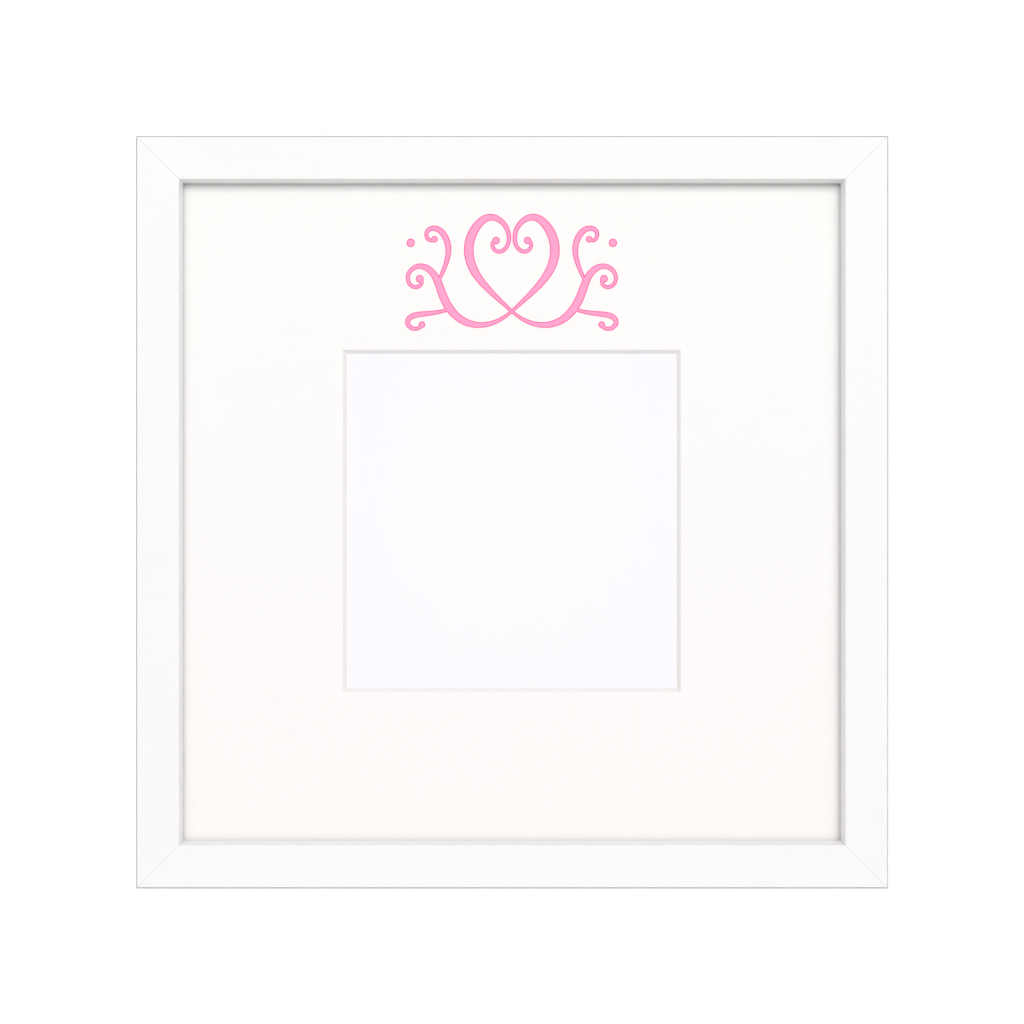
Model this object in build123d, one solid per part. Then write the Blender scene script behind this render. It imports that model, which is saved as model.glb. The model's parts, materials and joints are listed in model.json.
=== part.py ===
from build123d import *
import os
from math import cos, radians, sin, sqrt

# A deep white box frame for a baby's handprint, in millimetres. Seen from the front, which
# faces -Y, X runs to the right and Z up. The origin lies on the table, under the middle of
# the bottom rail.

# Moulding: a flat face, a sight edge that leans in towards the back, and a rebate behind the lip
FRAME_WIDTH = 250.0
FRAME_HEIGHT = 250.0
FRAME_DEPTH = 45.0
RAIL_FACE = 14.3
LIP_OVERLAP = 5.0
LIP_DEPTH = 5.0
SIGHT_LEAN = 0.45
OUTER_ARRIS = 0.6
SIGHT_ARRIS = 0.5
REAR_ARRIS = 0.4
MITRE_GAP = 0.04

# Sheet-steel nails across the mitres, one driven in behind the other
NAIL_LEG = 5.5
NAIL_THICKNESS = 0.5
NAIL_HEIGHT = 10.0
NAILS_PER_CORNER = 2
NAIL_SINK = 0.4

# What lies in the rebate, from the front to the back
PANEL_CLEARANCE = 0.5
GLAZING_THICKNESS = 1.3
MOUNT_PLAY = 0.1
MOUNT_THICKNESS = 1.2
WINDOW_WIDTH = 111.2
WINDOW_HEIGHT = 112.6
WINDOW_DROP = 3.0
SHEET_OVERLAP = 9.0
SHEET_THICKNESS = 0.3
TAPE_LENGTH = 40.0
TAPE_WIDTH = 16.0
TAPE_THICKNESS = 0.1
TAPE_SPACING = 70.0
CARD_THICKNESS = 2.0
SPACER_WIDTH = 6.0
SPACER_CLEARANCE = 0.3
BACKBOARD_THICKNESS = 3.0
BACKBOARD_RECESS = 0.1

# Turn buttons that hold the backboard, and their screws
BUTTON_SPACING = 120.0
BUTTON_REACH = 12.0
BUTTON_WIDTH = 8.6
BUTTON_TIP_WIDTH = 6.0
BUTTON_THICKNESS = 1.0
BUTTON_LIFT = 0.15
BUTTON_BEND_RADIUS = 1.2
BUTTON_BEND_ANGLE = 35.0
BUTTON_TIP_LENGTH = 2.5
SCREW_DIAMETER = 3.0
SCREW_DEPTH = 12.0
SCREW_HEAD_DIAMETER = 5.8
SCREW_CROWN_DIAMETER = 3.4
SCREW_HEAD_RIM = 0.5
SCREW_HEAD_HEIGHT = 1.8
SCREW_PLAY = 0.1
PILOT_CLEARANCE = 0.05
PILOT_SPARE = 1.0

# Strap hanger with its ring, riveted to the backboard
KNUCKLE_DROP = 30.0
RING_WIRE = 2.0
WIRE_FLAT_COUNT = 12
RING_WIDTH = 20.0
RING_CORNER = 3.0
RING_CLEAR = 7.0
STRAP_WIDTH = 10.0
STRAP_THICKNESS = 0.8
STRAP_LENGTH = 13.0
STRAP_CORNER = 2.5
STRAP_NECK = 1.0
KNUCKLE_PLAY = 0.15
RIVET_DIAMETER = 2.4
RIVET_HEAD_DIAMETER = 4.0
RIVET_CROWN_DIAMETER = 2.2
RIVET_HEAD_HEIGHT = 0.9
RIVET_CLINCH_HEIGHT = 0.5
RIVET_FROM_KNUCKLE = 5.0
RIVET_SPACING = 4.6
RIVET_COUNT = 2
RIVET_CLEARANCE = 0.05

# How far a cutting shape runs past the face that it cuts
OVERCUT = 1.0

# Planes across the depth of the frame
FRONT = -FRAME_DEPTH / 2
REAR = FRAME_DEPTH / 2
GLAZING_FRONT = FRONT + LIP_DEPTH
GLAZING_BACK = GLAZING_FRONT + GLAZING_THICKNESS
MOUNT_FRONT = GLAZING_BACK + MOUNT_PLAY
MOUNT_BACK = MOUNT_FRONT + MOUNT_THICKNESS
SHEET_BACK = MOUNT_BACK + SHEET_THICKNESS
CARD_FRONT = SHEET_BACK + TAPE_THICKNESS
CARD_BACK = CARD_FRONT + CARD_THICKNESS
BOARD_BACK = REAR - BACKBOARD_RECESS
BOARD_FRONT = BOARD_BACK - BACKBOARD_THICKNESS

# The rebate and what follows from it
WALL = RAIL_FACE - LIP_OVERLAP
RAIL_REACH = RAIL_FACE + SIGHT_LEAN
REBATE_WIDTH = FRAME_WIDTH - 2 * WALL
REBATE_HEIGHT = FRAME_HEIGHT - 2 * WALL
PANEL_WIDTH = REBATE_WIDTH - 2 * PANEL_CLEARANCE
PANEL_HEIGHT = REBATE_HEIGHT - 2 * PANEL_CLEARANCE
WINDOW_CENTRE = FRAME_HEIGHT / 2 - WINDOW_DROP
PIVOT_INSET = WALL / 2

# Each rail is made lying along X with its outer edge on the X axis, and then put on its side
RAIL_LENGTHS = {
    "bottom": FRAME_WIDTH,
    "top": FRAME_WIDTH,
    "left": FRAME_HEIGHT,
    "right": FRAME_HEIGHT,
}
RAIL_PLACES = {
    "bottom": Location((0, 0, 0), (0, 0, 0)),
    "top": Location((0, 0, FRAME_HEIGHT), (0, 180, 0)),
    "left": Location((-FRAME_WIDTH / 2, 0, FRAME_HEIGHT / 2), (0, 90, 0)),
    "right": Location((FRAME_WIDTH / 2, 0, FRAME_HEIGHT / 2), (0, -90, 0)),
}
# The two buttons of a rail, in the order in which they lie along it
BUTTON_ENDS = {
    "bottom": ("left", "right"),
    "top": ("right", "left"),
    "left": ("upper", "lower"),
    "right": ("lower", "upper"),
}
BUTTON_OFFSETS = (-BUTTON_SPACING / 2, BUTTON_SPACING / 2)

pieces = {}


def slab(width, height, y_front, y_back, x_middle, z_low):
    """An upright board between two depths, with its lower edge at z_low."""
    place = Pos(x_middle, (y_front + y_back) / 2, z_low + height / 2)
    return place * Box(width, y_back - y_front, height)


def rod(radius, y_front, y_back):
    """A round rod along Y between two depths."""
    return Pos(0, (y_front + y_back) / 2, 0) * Rot(90, 0, 0) * Cylinder(radius, y_back - y_front)


def turned(*points):
    """A turned piece along Y, from the points of its outline: the radius and the depth of each."""
    return revolve(make_face(Polyline(*points, close=True)), axis=Axis.Y)


# Moulding
def rail_section():
    """The rail's section, with the depth along X and the way in from the outer edge along Y."""
    lip_back = FRONT + LIP_DEPTH
    outline = Polyline(
        (FRONT, 0),
        (REAR, 0),
        (REAR, WALL),
        (lip_back, WALL),
        (lip_back, RAIL_REACH),
        (FRONT, RAIL_FACE),
        close=True,
    )
    section = make_face(outline)
    arrises = (
        ((FRONT, 0), OUTER_ARRIS),
        ((FRONT, RAIL_FACE), SIGHT_ARRIS),
        ((REAR, 0), REAR_ARRIS),
    )
    for corner, radius in arrises:
        section = fillet(section.vertices().sort_by_distance(corner)[0], radius)
    return section


def rail(length):
    """A rail with both ends mitred and the pilot holes of its two turn buttons."""
    bar = extrude(Plane.YZ * rail_section(), amount=length / 2, both=True)
    half = length / 2 - MITRE_GAP / sqrt(2)
    short = half - RAIL_REACH
    mitres = Polyline((-half, 0), (half, 0), (short, RAIL_REACH), (-short, RAIL_REACH), close=True)
    bar = bar & extrude(Plane.XZ * make_face(mitres), amount=FRAME_DEPTH, both=True)
    pilot = rod(
        SCREW_DIAMETER / 2 + PILOT_CLEARANCE,
        REAR - SCREW_DEPTH - PILOT_SPARE,
        REAR + OVERCUT,
    )
    for offset in BUTTON_OFFSETS:
        bar = bar - Pos(offset, 0, PIVOT_INSET) * pilot
    return bar


def corner_angle(right, up, y_front, y_back):
    """A nail's V shape in one corner, between two depths; its point lies on the mitre."""
    half = NAIL_THICKNESS / 2
    legs = [
        (-half, -half),
        (NAIL_LEG, -half),
        (NAIL_LEG, half),
        (half, half),
        (half, NAIL_LEG),
        (-half, NAIL_LEG),
    ]
    point_x = right * (FRAME_WIDTH / 2 - WALL / 2)
    point_z = FRAME_HEIGHT / 2 + up * (FRAME_HEIGHT / 2 - WALL / 2)
    outline = [(point_x - right * x, point_z - up * z) for x, z in legs]
    face = Plane.XZ * make_face(Polyline(*outline, close=True))
    return Pos(0, y_back, 0) * extrude(face, amount=y_back - y_front)


corners = [(right, up) for right in (-1, 1) for up in (-1, 1)]
nail_backs = [REAR - NAIL_SINK - number * NAIL_HEIGHT for number in range(NAILS_PER_CORNER)]
nails = [
    corner_angle(right, up, back - NAIL_HEIGHT, back)
    for right, up in corners
    for back in nail_backs
]
nail_slots = [
    corner_angle(right, up, nail_backs[-1] - NAIL_HEIGHT, REAR + OVERCUT)
    for right, up in corners
]
for side, place in RAIL_PLACES.items():
    pieces[f"rail_{side}"] = place * rail(RAIL_LENGTHS[side]) - nail_slots
pieces["corner_v_nails"] = Compound(nails)

# Glazing, mount, sheet, tapes and card stand on the bottom rail's rebate
pieces["glazing"] = slab(PANEL_WIDTH, PANEL_HEIGHT, GLAZING_FRONT, GLAZING_BACK, 0, WALL)


def window_outline(grow, depth):
    """The window's outline at a depth, wider than at the back of the mount by grow all round."""
    outline = Rectangle(WINDOW_WIDTH + 2 * grow, WINDOW_HEIGHT + 2 * grow)
    return Pos(0, depth, WINDOW_CENTRE) * (Plane.XZ * outline)


# The window is cut at 45 degrees, so that its bevel shows the white core
window = loft(
    [
        window_outline(MOUNT_THICKNESS + OVERCUT, MOUNT_FRONT - OVERCUT),
        window_outline(-OVERCUT, MOUNT_BACK + OVERCUT),
    ],
    ruled=True,
)
mount = slab(PANEL_WIDTH, PANEL_HEIGHT, MOUNT_FRONT, MOUNT_BACK, 0, WALL)
pieces["mount_board"] = mount - window

sheet_width = WINDOW_WIDTH + 2 * SHEET_OVERLAP
sheet_height = WINDOW_HEIGHT + 2 * SHEET_OVERLAP
sheet_top = WINDOW_CENTRE + sheet_height / 2
pieces["handprint_sheet"] = slab(
    sheet_width, sheet_height, MOUNT_BACK, SHEET_BACK, 0, sheet_top - sheet_height
)


def tape():
    """A strip of tape that steps from the back of the sheet up to the back of the mount."""
    low = sheet_top - TAPE_WIDTH / 2
    high = sheet_top + TAPE_WIDTH / 2
    step = sheet_top + TAPE_THICKNESS
    outline = Polyline(
        (MOUNT_BACK, high),
        (MOUNT_BACK + TAPE_THICKNESS, high),
        (MOUNT_BACK + TAPE_THICKNESS, step),
        (CARD_FRONT, step),
        (CARD_FRONT, low),
        (SHEET_BACK, low),
        (SHEET_BACK, sheet_top),
        (MOUNT_BACK, sheet_top),
        close=True,
    )
    return extrude(Plane.YZ * make_face(outline), amount=TAPE_LENGTH / 2, both=True)


pieces["sheet_tapes"] = Compound([Pos(x * TAPE_SPACING / 2, 0, 0) * tape() for x in (-1, 1)])
pieces["backing_card"] = slab(PANEL_WIDTH, PANEL_HEIGHT, CARD_FRONT, CARD_BACK, 0, WALL)

# Four strips fill the depth between the card and the backboard
spacer_length = REBATE_WIDTH - 2 * SPACER_CLEARANCE
spacer_top_low = FRAME_HEIGHT - WALL - SPACER_CLEARANCE - SPACER_WIDTH
spacer_side_low = WALL + SPACER_WIDTH
spacer_side_height = spacer_top_low - SPACER_CLEARANCE - spacer_side_low
spacer_side_x = spacer_length / 2 - SPACER_WIDTH / 2
for name, low in (("bottom", WALL), ("top", spacer_top_low)):
    pieces[f"spacer_{name}"] = slab(spacer_length, SPACER_WIDTH, CARD_BACK, BOARD_FRONT, 0, low)
for name, x in (("left", -spacer_side_x), ("right", spacer_side_x)):
    pieces[f"spacer_{name}"] = slab(
        SPACER_WIDTH, spacer_side_height, CARD_BACK, BOARD_FRONT, x, spacer_side_low
    )

# Strap hanger: its leaves lie on the backboard under the knuckle that holds the ring's bar
knuckle_bore = RING_WIRE / 2 + KNUCKLE_PLAY
knuckle_radius = knuckle_bore + STRAP_THICKNESS
knuckle_y = BOARD_BACK + knuckle_radius
knuckle_z = FRAME_HEIGHT - KNUCKLE_DROP
leaves_back = BOARD_BACK + 2 * STRAP_THICKNESS
rivet_heights = [knuckle_z - RIVET_FROM_KNUCKLE - n * RIVET_SPACING for n in range(RIVET_COUNT)]


def strap():
    """The folded strap: a knuckle rolled round the bar, and two leaves with rivet holes."""
    leaves = Polyline(
        (BOARD_BACK, knuckle_z),
        (leaves_back, knuckle_z),
        (leaves_back, knuckle_z - STRAP_LENGTH),
        (BOARD_BACK, knuckle_z - STRAP_LENGTH),
        close=True,
    )
    knuckle = Pos(knuckle_y, knuckle_z) * Circle(knuckle_radius)
    profile = make_face(leaves) + knuckle
    neck = (leaves_back, knuckle_z - knuckle_radius)
    profile = fillet(profile.vertices().sort_by_distance(neck)[0], STRAP_NECK)
    profile = profile - Pos(knuckle_y, knuckle_z) * Circle(knuckle_bore)
    body = extrude(Plane.YZ * profile, amount=STRAP_WIDTH / 2, both=True)
    free_end = body.edges().filter_by(Axis.Y).group_by(Axis.Z)[0]
    body = fillet(free_end, STRAP_CORNER)
    for height in rivet_heights:
        body = body - Pos(0, 0, height) * rivet_hole
    return body


def ring():
    """The wire ring as it hangs: a bar in the knuckle, rounded corners and a round bow."""
    half = RING_WIDTH / 2
    bar = half - RING_CORNER
    bow = STRAP_LENGTH + RING_CLEAR + RING_WIRE / 2 - half
    line = Wire(
        [
            Line((-bar, 0), (bar, 0)),
            CenterArc((bar, -RING_CORNER), RING_CORNER, 90, -90),
            Line((half, -RING_CORNER), (half, -bow)),
            CenterArc((0, -bow), half, 0, -180),
            Line((-half, -bow), (-half, -RING_CORNER)),
            CenterArc((-bar, -RING_CORNER), RING_CORNER, 180, -90),
        ]
    )
    path = Pos(0, knuckle_y, knuckle_z) * (Plane.XZ * line)
    start = Plane((-bar, knuckle_y, knuckle_z), z_dir=(1, 0, 0))
    return sweep(start * RegularPolygon(RING_WIRE / 2, WIRE_FLAT_COUNT), path=path)


def rivet():
    """A rivet with a crowned head on the strap and its end clinched inside the frame."""
    head = RIVET_HEAD_DIAMETER / 2
    shank = RIVET_DIAMETER / 2
    top = leaves_back + RIVET_HEAD_HEIGHT
    clinch = BOARD_FRONT - RIVET_CLINCH_HEIGHT
    return turned(
        (0, clinch),
        (head, clinch),
        (head, BOARD_FRONT),
        (shank, BOARD_FRONT),
        (shank, leaves_back),
        (head, leaves_back),
        (RIVET_CROWN_DIAMETER / 2, top),
        (0, top),
    )


rivet_hole = rod(RIVET_DIAMETER / 2 + RIVET_CLEARANCE, BOARD_FRONT - OVERCUT, leaves_back + OVERCUT)
pieces["hanger_strap"] = strap()
pieces["hanger_ring"] = ring()
pieces["hanger_rivets"] = Compound([Pos(0, 0, height) * rivet() for height in rivet_heights])

backboard = slab(PANEL_WIDTH, PANEL_HEIGHT, BOARD_FRONT, BOARD_BACK, 0, WALL)
pieces["backboard"] = backboard - [Pos(0, 0, height) * rivet_hole for height in rivet_heights]


# Turn buttons, made at their pivot and pointing inwards over the backboard
button_front = REAR + BUTTON_LIFT
button_back = button_front + BUTTON_THICKNESS
head_seat = button_back + SCREW_PLAY


def turn_button():
    """A flat steel button with a round head, a narrower tip bent up for the finger, and a hole."""
    head = BUTTON_WIDTH / 2
    tip = BUTTON_TIP_WIDTH / 2
    inner = BUTTON_BEND_RADIUS
    outer = inner + BUTTON_THICKNESS
    bend = radians(BUTTON_BEND_ANGLE)
    centre = (button_back + inner, BUTTON_REACH)
    run = (BUTTON_TIP_LENGTH * sin(bend), BUTTON_TIP_LENGTH * cos(bend))
    under = (centre[0] - outer * cos(bend), centre[1] + outer * sin(bend))
    over = (centre[0] - inner * cos(bend), centre[1] + inner * sin(bend))
    under_tip = (under[0] + run[0], under[1] + run[1])
    over_tip = (over[0] + run[0], over[1] + run[1])
    side = make_face(
        [
            Line((button_back, -head), (button_front, -head)),
            Line((button_front, -head), (button_front, BUTTON_REACH)),
            CenterArc(centre, outer, 180, -BUTTON_BEND_ANGLE),
            Polyline(under, under_tip, over_tip, over),
            CenterArc(centre, inner, 180 - BUTTON_BEND_ANGLE, BUTTON_BEND_ANGLE),
            Line((button_back, BUTTON_REACH), (button_back, -head)),
        ]
    )
    strip = extrude(Plane.YZ * side, amount=head, both=True)
    tip_circle = Pos(0, under_tip[1] - tip) * Circle(tip)
    plan = make_hull(Circle(head).edges() + tip_circle.edges())
    column = Pos(0, REAR, 0) * extrude(Plane.XZ * plan, amount=FRAME_DEPTH, both=True)
    hole = rod(SCREW_DIAMETER / 2 + SCREW_PLAY, REAR - OVERCUT, button_back + OVERCUT)
    return strip & column - hole


def screw():
    """A pan-head screw, its plain shank in the rail."""
    shank = SCREW_DIAMETER / 2
    head = SCREW_HEAD_DIAMETER / 2
    end = REAR - SCREW_DEPTH
    top = head_seat + SCREW_HEAD_HEIGHT
    return turned(
        (0, end),
        (shank, end),
        (shank, head_seat),
        (head, head_seat),
        (head, head_seat + SCREW_HEAD_RIM),
        (SCREW_CROWN_DIAMETER / 2, top),
        (0, top),
    )


screws = []
for side, place in RAIL_PLACES.items():
    for end, offset in zip(BUTTON_ENDS[side], BUTTON_OFFSETS):
        pivot = place * Pos(offset, 0, PIVOT_INSET)
        pieces[f"turn_button_{side}_{end}"] = pivot * turn_button()
        screws.append(pivot * screw())
pieces["turn_button_screws"] = Compound(screws)

os.makedirs("parts", exist_ok=True)
for name, piece in pieces.items():
    export_step(piece, f"parts/{name}.step")
    print(name, len(piece.solids()), round(piece.volume, 2))
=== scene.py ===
# %% [markdown]
# A white box frame for a baby's handprint
#
# The solids of the frame arrive from CAD at their real size, with their joints. This script
# gives them their surfaces, makes the pieces that are nicer as meshes, and sets a bright,
# soft studio round them. Everything is in metres, and the frame faces -Y.

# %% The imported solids
import json
from math import asin, cos, pi, radians, sin

import bmesh
import bpy
from mathutils import Matrix, Vector


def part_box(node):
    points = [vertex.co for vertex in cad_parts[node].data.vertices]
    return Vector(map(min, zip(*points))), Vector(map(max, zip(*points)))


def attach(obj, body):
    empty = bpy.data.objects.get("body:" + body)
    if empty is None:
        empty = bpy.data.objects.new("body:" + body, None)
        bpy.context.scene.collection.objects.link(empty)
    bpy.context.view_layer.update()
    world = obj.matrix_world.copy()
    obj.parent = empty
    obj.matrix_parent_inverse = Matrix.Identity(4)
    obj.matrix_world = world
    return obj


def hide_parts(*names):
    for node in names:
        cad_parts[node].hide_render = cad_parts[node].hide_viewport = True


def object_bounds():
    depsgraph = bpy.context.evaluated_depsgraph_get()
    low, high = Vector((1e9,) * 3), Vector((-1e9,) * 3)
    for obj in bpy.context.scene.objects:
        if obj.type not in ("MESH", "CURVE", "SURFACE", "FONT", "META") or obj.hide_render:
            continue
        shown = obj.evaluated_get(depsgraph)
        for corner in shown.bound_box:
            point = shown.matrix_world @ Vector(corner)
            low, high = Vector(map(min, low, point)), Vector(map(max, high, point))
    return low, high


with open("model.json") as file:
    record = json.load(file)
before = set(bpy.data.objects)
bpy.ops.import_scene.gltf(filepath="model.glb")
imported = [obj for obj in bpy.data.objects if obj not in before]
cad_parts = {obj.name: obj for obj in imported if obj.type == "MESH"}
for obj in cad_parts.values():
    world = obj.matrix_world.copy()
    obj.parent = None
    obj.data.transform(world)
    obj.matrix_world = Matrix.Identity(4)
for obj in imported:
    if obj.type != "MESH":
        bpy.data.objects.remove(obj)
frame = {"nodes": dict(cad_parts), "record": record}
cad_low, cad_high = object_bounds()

MM = 0.001
nodes = frame["nodes"]
scene = bpy.context.scene


def in_mm(lengths):
    """Lengths in metres as rounded millimetres, to print."""
    return [round(length / MM, 2) for length in lengths]


print("CAD box in mm:", in_mm((*cad_low, *cad_high)))

# %% [markdown]
# Camera
#
# The picture is taken straight on, so every edge of the frame stays upright or level. More of
# the right-hand and lower sight walls shows than of the others, so the lens sits a little left
# of the middle and above it. Turning the camera towards the middle would make the edges
# converge. A shifted lens keeps them parallel, as a product photographer's does.

# %% Camera
IMAGE_SIDE = 1024
FRAME_IN_IMAGE = 752.5
FRAME_CENTRE_IN_IMAGE = 512.25
# In mm, as a camera takes them
LENS = 55
SENSOR = 36
LENS_LEFT = 12 * MM
LENS_ABOVE = 8 * MM
front = cad_low.y
middle_z = (cad_low.z + cad_high.z) / 2

camera_data = bpy.data.cameras.new("camera")
camera_data.lens = LENS
camera_data.sensor_width = SENSOR
camera = bpy.data.objects.new("camera", camera_data)
scene.collection.objects.link(camera)
scene.camera = camera
pixels_per_metre = FRAME_IN_IMAGE / (cad_high.x - cad_low.x)
distance = LENS / SENSOR * IMAGE_SIDE / pixels_per_metre
off_centre = (FRAME_CENTRE_IN_IMAGE - IMAGE_SIDE / 2) / IMAGE_SIDE
camera.location = (-LENS_LEFT, front - distance, middle_z + LENS_ABOVE)
camera.rotation_euler = (pi / 2, 0, 0)
camera_data.shift_x = LENS_LEFT * pixels_per_metre / IMAGE_SIDE - off_centre
camera_data.shift_y = -LENS_ABOVE * pixels_per_metre / IMAGE_SIDE + off_centre
print("lens to the frame's face, mm:", round(distance / MM, 1))

# %% [markdown]
# Node helper and colours
#
# A material is a small graph of nodes. Adding, setting and linking each node by hand takes several
# lines, and a finish would run over pages. One function does all three, so that each finish below
# reads as a recipe. Colours are written as the sRGB values that a colour picker shows, and shaders
# need them linear.


# %% Node helper and colours
def add(tree, kind, settings=None, links=None):
    """Adds a node of a kind, sets its options and sockets, and links its inputs to outputs."""
    node = tree.nodes.new("ShaderNode" + kind)
    for name, value in (settings or {}).items():
        if isinstance(name, str) and hasattr(node, name):
            setattr(node, name, value)
        else:
            node.inputs[name].default_value = value
    for name, output in (links or {}).items():
        tree.links.new(output, node.inputs[name])
    return node


def linear(code):
    """An sRGB hex colour as the linear colour that a shader takes."""
    shares = [int(code[at:at + 2], 16) / 255 for at in (1, 3, 5)]
    return [s / 12.92 if s <= 0.04045 else ((s + 0.055) / 1.055) ** 2.4 for s in shares] + [1.0]


def new_finish(name):
    """A material with an empty graph, and where its surface lies in metres."""
    material = bpy.data.materials.new(name)
    material.use_nodes = True
    tree = material.node_tree
    tree.nodes.clear()
    return material, tree, add(tree, "TexCoord").outputs["Object"]


print("a middle grey as linear light:", [round(share, 3) for share in linear("#808080")[:3]])

# %% [markdown]
# White world
#
# The background is plain white. A brightly lit backdrop would give that too, but it would flood the
# pale frame with light. So the world shows as white to the camera, and to glass and metal that
# mirror it, while the light that it gives stays at a plain level. Light Path tells the rays apart.

# %% White world
WORLD_LIGHT = 0.575
WHITE = (1, 1, 1, 1)


def seen_directly(tree):
    """1 for rays from the camera and for those that glass and metal mirror or let through."""
    path = add(tree, "LightPath").outputs
    mirrored = add(tree, "Math", {"operation": "MAXIMUM"},
                   {0: path["Is Glossy Ray"], 1: path["Is Transmission Ray"]})
    return add(tree, "Math", {"operation": "MAXIMUM"},
               {0: path["Is Camera Ray"], 1: mirrored.outputs[0]}).outputs[0]


scene.view_settings.view_transform = "Standard"
world = bpy.data.worlds.new("studio")
scene.world = world
world.use_nodes = True
tree = world.node_tree
tree.nodes.clear()
strength = add(tree, "MapRange", {"To Min": WORLD_LIGHT, "To Max": 1.0},
               {"Value": seen_directly(tree)})
sky = add(tree, "Background", {"Color": WHITE}, {"Strength": strength.outputs["Result"]})
add(tree, "OutputWorld", links={"Surface": sky.outputs[0]})
print("nodes of the world:", len(tree.nodes))

# %% [markdown]
# Floor
#
# The floor has to end in the same white as the world, with no horizon, and still carry the frame's
# shadow. Plain grey would show its far edge, and a white glow alone would lose the shadow. So near
# the frame the floor is a grey surface with a little glow, and away from it the surface gives way
# to a white glow.

# %% Floor
# A Mix node has sockets for every kind of value, so its colours and their mix go by number
MIX_A = 6
MIX_B = 7
MIXED = 2
FLOOR_GLOW = 0.45
SHADOW_REACH = 0.25
WHITE_FROM = 0.9

floor_finish, tree, place = new_finish("studio_floor")
reach = add(tree, "VectorMath", {"operation": "LENGTH"}, {0: place})
far = add(tree, "MapRange", {"From Min": SHADOW_REACH, "From Max": WHITE_FROM},
          {"Value": reach.outputs["Value"]}).outputs["Result"]
seen = seen_directly(tree)
seen_far = add(tree, "Math", {"operation": "MULTIPLY"}, {0: far, 1: seen})
rise = add(tree, "MapRange", {"To Min": FLOOR_GLOW, "To Max": 1.0}, {"Value": far})
glow = add(tree, "Math", {"operation": "MULTIPLY"}, {0: rise.outputs["Result"], 1: seen})
grey = add(tree, "Mix", {"data_type": "RGBA", MIX_A: linear("#E6E6E6"), MIX_B: linear("#000000")},
           {"Factor": seen_far.outputs[0]})
shader = add(tree, "BsdfPrincipled",
             {"Roughness": 0.9, "Specular IOR Level": 0.0, "Emission Color": WHITE},
             {"Base Color": grey.outputs[MIXED], "Emission Strength": glow.outputs[0]})
add(tree, "OutputMaterial", links={"Surface": shader.outputs[0]})
print("the floor is white from this far off, m:", WHITE_FROM)

# %% [markdown]
# Laying the floor
#
# The floor is one large square, a hair's breadth under the frame so that the two don't flicker. A
# box would do as well, but nobody sees its sides.

# %% Laying the floor
FLOOR_SIDE = 6.0
FLOOR_BELOW = 0.1 * MM

bm = bmesh.new()
bmesh.ops.create_grid(bm, x_segments=1, y_segments=1, size=FLOOR_SIDE / 2)
bmesh.ops.translate(bm, vec=(0, 0, cad_low.z - FLOOR_BELOW), verts=bm.verts)
floor_mesh = bpy.data.meshes.new("studio_floor")
bm.to_mesh(floor_mesh)
bm.free()
floor_mesh.materials.append(floor_finish)
floor = bpy.data.objects.new("studio_floor", floor_mesh)
scene.collection.objects.link(floor)
print("floor side in m:", FLOOR_SIDE)

# %% [markdown]
# Lamps
#
# The main lamp is a very wide soft box far behind the lens, well above it and a little to the
# right. It lights the whole face evenly and leaves soft shadows along the sight edge, darkest at
# the top, while the lower sight edge faces the lamp and stays pale. A weaker lamp behind keeps the
# back readable. It stands low and is wide, so that neither the frame's satin top nor its bright
# steel mirrors a glaring spot. A photographer would keep the main lamp's mirror image off the glass
# with a polariser. Here that lamp is hidden from mirrored rays.


# %% Lamps
def soft_lamp(name, place, width, height, watts):
    """A lamp of this width and height that faces the middle of the frame."""
    data = bpy.data.lights.new(name, "AREA")
    data.shape = "RECTANGLE"
    data.size = width
    data.size_y = height
    data.energy = watts
    lamp = bpy.data.objects.new(name, data)
    lamp.location = place
    aim = Vector((0, 0, middle_z)) - lamp.location
    lamp.rotation_euler = aim.to_track_quat("-Z", "Y").to_euler()
    scene.collection.objects.link(lamp)
    return lamp


key = soft_lamp("key_above_lens", place=(0.45, -3.8, 1.5), width=3.0, height=1.6, watts=83.5)
soft_lamp("low_behind", place=(-0.4, 2.2, 0.7), width=2.2, height=1.3, watts=17)
key.visible_glossy = False

# %% [markdown]
# White paper foil on fibreboard
#
# The rails are fibreboard wrapped in a white paper foil with a satin lacquer. The foil is
# almost flat white, with a faint skin that softens reflections. It is folded tightly over the
# outer front edge, and a fine grey line is painted there as shade, where the edge turns away from
# the light. At the back it is turned over by a few millimetres, and the rest of the rear face is
# bare board: tan, with short fibres. Two materials on split faces could give this, but the CAD
# mesh stays whole. So both live in one material, and this cell mixes their colours.

# %% Foil and bare board
FOIL_CLOUD = 60 * MM
# Real fibres are about half as wide, too fine to show here
FIBRE = 0.5 * MM

foil_on_board, tree, place = new_finish("white_foil_on_fibreboard")
cloud = add(tree, "TexNoise", {"Scale": 1 / FOIL_CLOUD, "Detail": 2}, {"Vector": place})
foil = add(tree, "Mix", {"data_type": "RGBA", MIX_A: linear("#F8F7F6"), MIX_B: linear("#F5F4F3")},
           {"Factor": cloud.outputs["Fac"]})
fibres = add(tree, "TexNoise", {"Scale": 1 / FIBRE, "Detail": 5, "Roughness": 0.7},
             {"Vector": place})
grain = add(tree, "MapRange", {"From Min": 0.25, "From Max": 0.75},
            {"Value": fibres.outputs["Fac"]})
board = add(tree, "Mix", {"data_type": "RGBA", MIX_A: linear("#C9AC84"), MIX_B: linear("#8F724B")},
            {"Factor": grain.outputs["Result"]})
print("foil clouds and board fibres in mm:", in_mm((FOIL_CLOUD, FIBRE)))
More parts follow.
